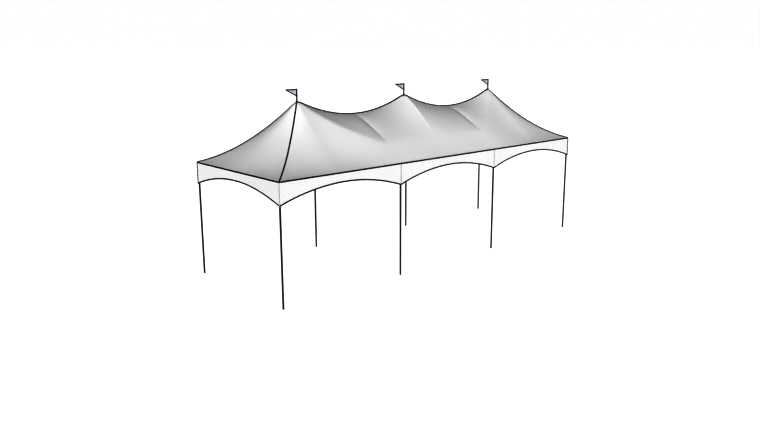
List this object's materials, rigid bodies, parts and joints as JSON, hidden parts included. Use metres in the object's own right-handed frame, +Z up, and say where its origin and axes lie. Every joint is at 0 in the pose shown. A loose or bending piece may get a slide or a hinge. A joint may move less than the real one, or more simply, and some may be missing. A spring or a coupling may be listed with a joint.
{
  "type": "high peak frame tent",
  "caption": "Long frame tent on tube legs: square bays in a row, each with a tensioned skin drawn up to a peak by a mast on crossed cables, arched valances and pennants that turn on their rods.",
  "frame": {"origin": "on the ground, under the middle of the tent's plan", "axes": "+X along the row of bays, +Y from the front side to the back side, +Z up"},
  "size_m": [9.144, 3.048, 3.9971],
  "materials": {
    "tube": "black powder-coated aluminium tube, satin",
    "fitting": "black powder-coated cast aluminium, satin",
    "cable": "galvanised steel wire rope and ring",
    "roof": "white coated fabric, soft sheen",
    "valance": "white coated fabric, soft sheen",
    "pennant": "lavender grey woven nylon"
  },
  "bodies": {
    "tent": {"leg_front_1": "tube", "leg_front_2": "tube", "leg_front_3": "tube", "leg_front_4": "tube", "leg_back_1": "tube", "leg_back_2": "tube", "leg_back_3": "tube", "leg_back_4": "tube", "corner_fitting_front_left": "fitting", "corner_fitting_front_right": "fitting", "corner_fitting_back_left": "fitting", "corner_fitting_back_right": "fitting", "side_fitting_front_left": "fitting", "side_fitting_front_right": "fitting", "side_fitting_back_left": "fitting", "side_fitting_back_right": "fitting", "eave_beam_front_left": "tube", "eave_beam_front_middle": "tube", "eave_beam_front_right": "tube", "eave_beam_back_left": "tube", "eave_beam_back_middle": "tube", "eave_beam_back_right": "tube", "eave_beam_left": "tube", "eave_beam_right": "tube", "crossbar_left": "tube", "crossbar_right": "tube", "mast_left": "tube", "mast_middle": "tube", "mast_right": "tube", "cross_cables_left": "cable", "cross_cables_middle": "cable", "cross_cables_right": "cable", "finial_left": "fitting", "finial_middle": "fitting", "finial_right": "fitting", "roof_left": "roof", "roof_middle": "roof", "roof_right": "roof", "valance_front": "valance", "valance_back": "valance", "valance_left": "valance", "valance_right": "valance"},
    "pennant_left": {"pennant_left": "pennant"},
    "pennant_middle": {"pennant_middle": "pennant"},
    "pennant_right": {"pennant_right": "pennant"}
  },
  "joints": [
    {"name": "pennant_left_turn", "type": "hinge", "parent": "tent", "child": "pennant_left", "pos_m": [-3.048, 0, 3.89], "axis": [0, 0, 1], "continuous": true},
    {"name": "pennant_middle_turn", "type": "hinge", "parent": "tent", "child": "pennant_middle", "pos_m": [0, 0, 3.89], "axis": [0, 0, 1], "continuous": true},
    {"name": "pennant_right_turn", "type": "hinge", "parent": "tent", "child": "pennant_right", "pos_m": [3.048, 0, 3.89], "axis": [0, 0, 1], "continuous": true}
  ]
}
